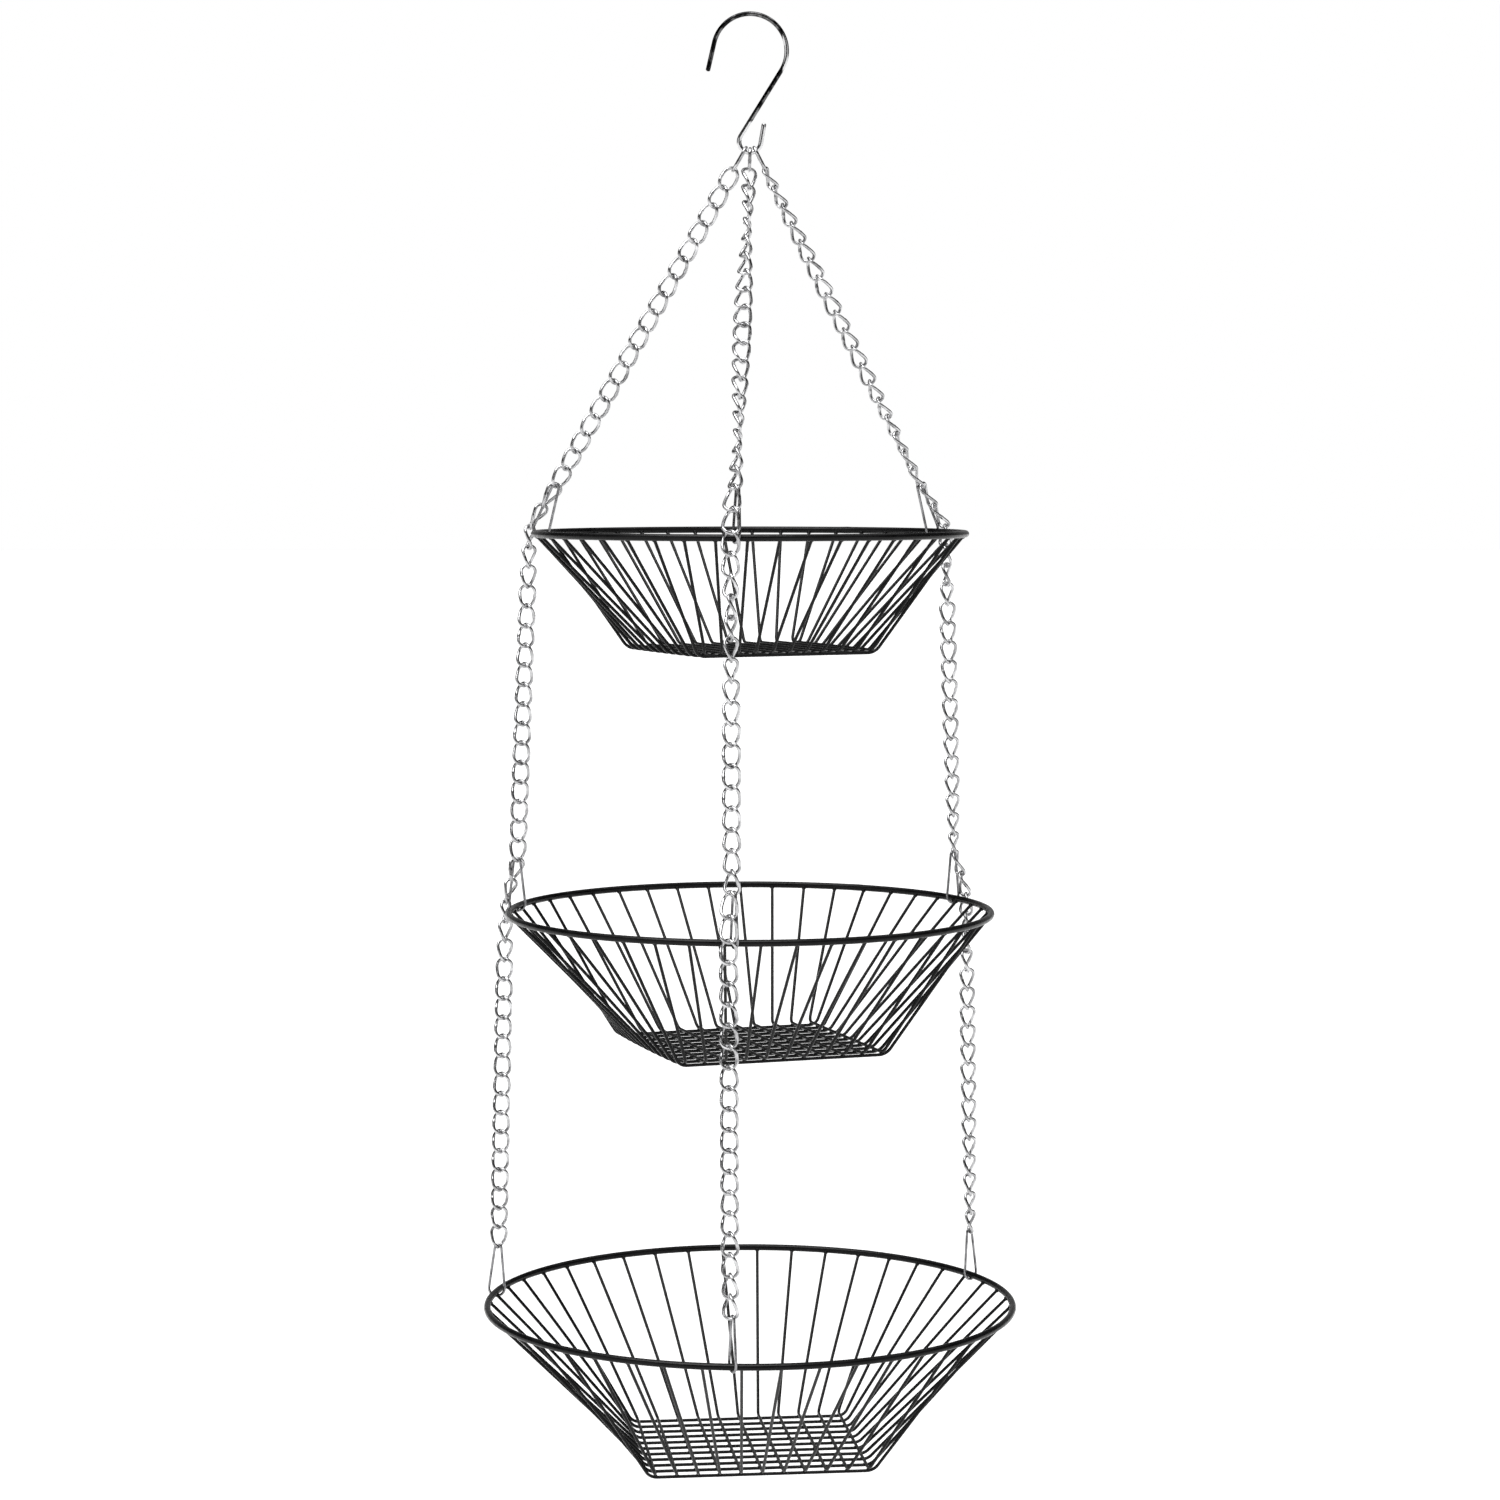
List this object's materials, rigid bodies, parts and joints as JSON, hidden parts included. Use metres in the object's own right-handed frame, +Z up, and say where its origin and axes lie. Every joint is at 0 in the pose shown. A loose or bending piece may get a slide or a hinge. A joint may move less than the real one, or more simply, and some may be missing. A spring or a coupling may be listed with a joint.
{
  "type": "hanging wire produce basket",
  "caption": "Hanging storage of round wire baskets in graduated sizes, carried one below another on chains from a wire hook, for fruit and vegetables.",
  "frame": {"origin": "inside top of the hook's large bend, where the basket hangs from its support", "axes": "+Z up along the hanging axis; the hook lies in the X-Z plane; -Y is the front, where one chain hangs; +X to the right seen from the front"},
  "size_m": [0.2998, 0.3028, 0.8033],
  "materials": {
    "hook_steel": "polished",
    "chain_metal": "bright plated",
    "clip_wire": "bright plated",
    "black_coated_wire": "gloss black powder coat"
  },
  "bodies": {
    "hook": {"hanging_hook": "hook_steel"},
    "crown": {"crown_link_front": "chain_metal", "crown_link_left": "chain_metal", "crown_link_right": "chain_metal"},
    "top_tier": {"top_chain_front": "chain_metal", "top_chain_left": "chain_metal", "top_chain_right": "chain_metal", "top_clip_front": "clip_wire", "top_clip_left": "clip_wire", "top_clip_right": "clip_wire", "top_rim": "black_coated_wire", "top_basket_ribs": "black_coated_wire"},
    "middle_chain_front": {"middle_chain_front": "chain_metal"},
    "middle_chain_left": {"middle_chain_left": "chain_metal"},
    "middle_chain_right": {"middle_chain_right": "chain_metal"},
    "middle_tier": {"middle_chain_tail_front": "chain_metal", "middle_chain_tail_left": "chain_metal", "middle_chain_tail_right": "chain_metal", "middle_clip_front": "clip_wire", "middle_clip_left": "clip_wire", "middle_clip_right": "clip_wire", "middle_rim": "black_coated_wire", "middle_basket_ribs": "black_coated_wire"},
    "bottom_chain_front": {"bottom_chain_front": "chain_metal"},
    "bottom_chain_left": {"bottom_chain_left": "chain_metal"},
    "bottom_chain_right": {"bottom_chain_right": "chain_metal"},
    "bottom_tier": {"bottom_clip_front": "clip_wire", "bottom_clip_left": "clip_wire", "bottom_clip_right": "clip_wire", "bottom_rim": "black_coated_wire", "bottom_basket_ribs": "black_coated_wire"}
  },
  "joints": [
    {"name": "crown_side_swing", "type": "hinge", "parent": "hook", "child": "crown", "pos_m": [0, 0, -0.06834], "axis": [0, 1, 0], "range_deg": [-20, 20]},
    {"name": "crown_fore_aft_swing", "type": "hinge", "parent": "crown", "child": "top_tier", "pos_m": [0, 0, -0.08351], "axis": [1, 0, 0], "range_deg": [-15, 15]},
    {"name": "middle_sway_front", "type": "hinge", "parent": "top_tier", "child": "middle_chain_front", "pos_m": [-0.00886, -0.12664, -0.28071], "axis": [0, 1, 0], "range_deg": [-12, 12]},
    {"name": "middle_sway_left", "type": "hinge", "parent": "top_tier", "child": "middle_chain_left", "pos_m": [-0.12418, 0.02639, -0.28071], "axis": [0, 1, 0], "range_deg": [-12, 12]},
    {"name": "middle_sway_right", "type": "hinge", "parent": "top_tier", "child": "middle_chain_right", "pos_m": [0.11103, 0.06155, -0.28071], "axis": [0, 1, 0], "range_deg": [-12, 12]},
    {"name": "middle_level", "type": "hinge", "parent": "middle_chain_front", "child": "middle_tier", "pos_m": [-0.00973, -0.13918, -0.46989], "axis": [0, 1, 0], "range_deg": [-12, 12]},
    {"name": "bottom_sway_front", "type": "hinge", "parent": "middle_tier", "child": "bottom_chain_front", "pos_m": [-0.00992, -0.1418, -0.49355], "axis": [0, 1, 0], "range_deg": [-12, 12]},
    {"name": "bottom_sway_left", "type": "hinge", "parent": "middle_tier", "child": "bottom_chain_left", "pos_m": [-0.13904, 0.02956, -0.49355], "axis": [0, 1, 0], "range_deg": [-12, 12]},
    {"name": "bottom_sway_right", "type": "hinge", "parent": "middle_tier", "child": "bottom_chain_right", "pos_m": [0.12433, 0.06892, -0.49355], "axis": [0, 1, 0], "range_deg": [-12, 12]},
    {"name": "bottom_level", "type": "hinge", "parent": "bottom_chain_front", "child": "bottom_tier", "pos_m": [-0.01026, -0.14674, -0.6908], "axis": [0, 1, 0], "range_deg": [-12, 12]}
  ],
  "couplings": [
    {"joint": "middle_sway_left", "follows": "middle_sway_front", "ratio": 1},
    {"joint": "middle_sway_right", "follows": "middle_sway_front", "ratio": 1},
    {"joint": "middle_level", "follows": "middle_sway_front", "ratio": -0.9099},
    {"joint": "bottom_sway_left", "follows": "bottom_sway_front", "ratio": 1},
    {"joint": "bottom_sway_right", "follows": "bottom_sway_front", "ratio": 1},
    {"joint": "bottom_level", "follows": "bottom_sway_front", "ratio": -0.9663}
  ]
}
